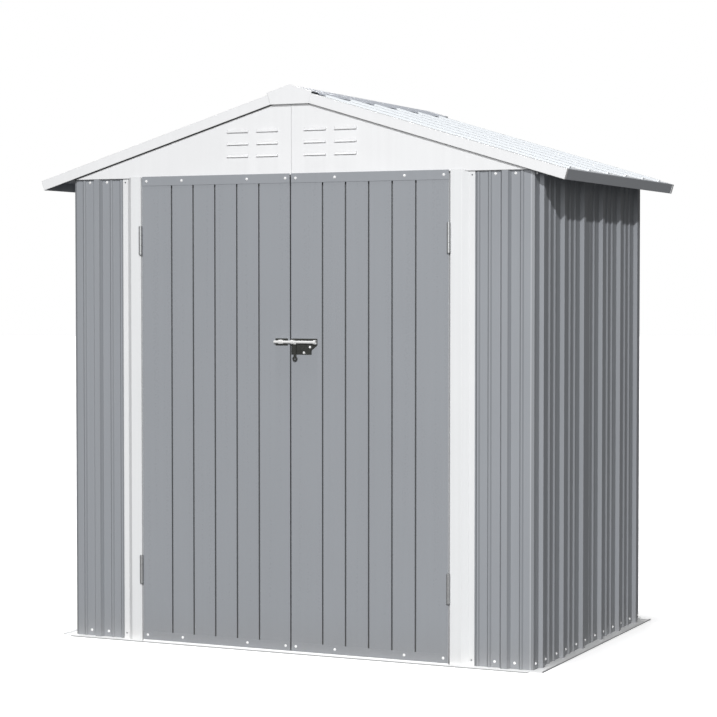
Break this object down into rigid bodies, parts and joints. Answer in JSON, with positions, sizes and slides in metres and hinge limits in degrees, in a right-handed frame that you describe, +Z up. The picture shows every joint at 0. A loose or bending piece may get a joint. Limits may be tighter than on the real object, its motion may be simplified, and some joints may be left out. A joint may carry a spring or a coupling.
{
  "type": "metal storage shed",
  "caption": "Small gable-roofed steel storage shed with ribbed grey walls, white trims and louvred gables, outward-opening double doors on butt hinges and a slide bolt",
  "frame": {"origin": "centre of the shed's overall box at ground level", "axes": "+X to the right seen from the front, +Y from the doors to the back wall, +Z up"},
  "size_m": [1.8328, 1.149, 1.7892],
  "materials": {
    "grey_sheet": "satin grey baked enamel on steel sheet",
    "white_trim": "satin white baked enamel on steel sheet",
    "white_roof": "satin white baked enamel on ribbed steel sheet",
    "base_white": "satin white baked enamel on steel angle",
    "zinc_rail": "galvanized steel channel",
    "hinge_steel": "zinc plated steel",
    "latch_steel": "dull zinc plated steel"
  },
  "bodies": {
    "shed": {"front_left_panel": "grey_sheet", "front_right_panel": "grey_sheet", "left_wall_front_panel": "grey_sheet", "left_wall_back_panel": "grey_sheet", "right_wall_front_panel": "grey_sheet", "right_wall_back_panel": "grey_sheet", "back_left_panel": "grey_sheet", "back_right_panel": "grey_sheet", "left_eave_trim": "grey_sheet", "right_eave_trim": "grey_sheet", "ridge_cap": "grey_sheet", "left_door_jamb": "white_trim", "right_door_jamb": "white_trim", "front_left_gable": "white_trim", "front_right_gable": "white_trim", "back_left_gable": "white_trim", "back_right_gable": "white_trim", "front_verge_trims": "white_trim", "back_verge_trims": "white_trim", "ridge_end_caps": "white_trim", "left_roof_panel": "white_roof", "right_roof_panel": "white_roof", "front_base_rail": "base_white", "back_base_rail": "base_white", "left_base_rail": "base_white", "right_base_rail": "base_white", "front_top_rail": "zinc_rail", "back_top_rail": "zinc_rail", "left_top_rail": "zinc_rail", "right_top_rail": "zinc_rail", "wall_mid_rails": "zinc_rail", "ridge_beam": "zinc_rail", "roof_purlins": "zinc_rail", "left_hinge_frame_leaves": "hinge_steel", "right_hinge_frame_leaves": "hinge_steel"},
    "left_door": {"left_door_panel": "grey_sheet", "left_door_rails": "grey_sheet", "left_hinge_door_leaves": "hinge_steel", "latch_keeper": "latch_steel"},
    "right_door": {"right_door_panel": "grey_sheet", "right_door_rails": "grey_sheet", "right_hinge_door_leaves": "hinge_steel", "latch_plate": "latch_steel"},
    "bolt": {"latch_bolt": "latch_steel"}
  },
  "joints": [
    {"name": "left_door_hinge", "type": "hinge", "parent": "shed", "child": "left_door", "pos_m": [-0.539, -0.56, 0.771], "axis": [0, 0, -1], "range_deg": [0, 110]},
    {"name": "right_door_hinge", "type": "hinge", "parent": "shed", "child": "right_door", "pos_m": [0.539, -0.56, 0.771], "axis": [0, 0, 1], "range_deg": [0, 110]},
    {"name": "bolt_slide", "type": "slide", "parent": "right_door", "child": "bolt", "axis": [1, 0, 0], "range_m": [0, 0.058]}
  ]
}
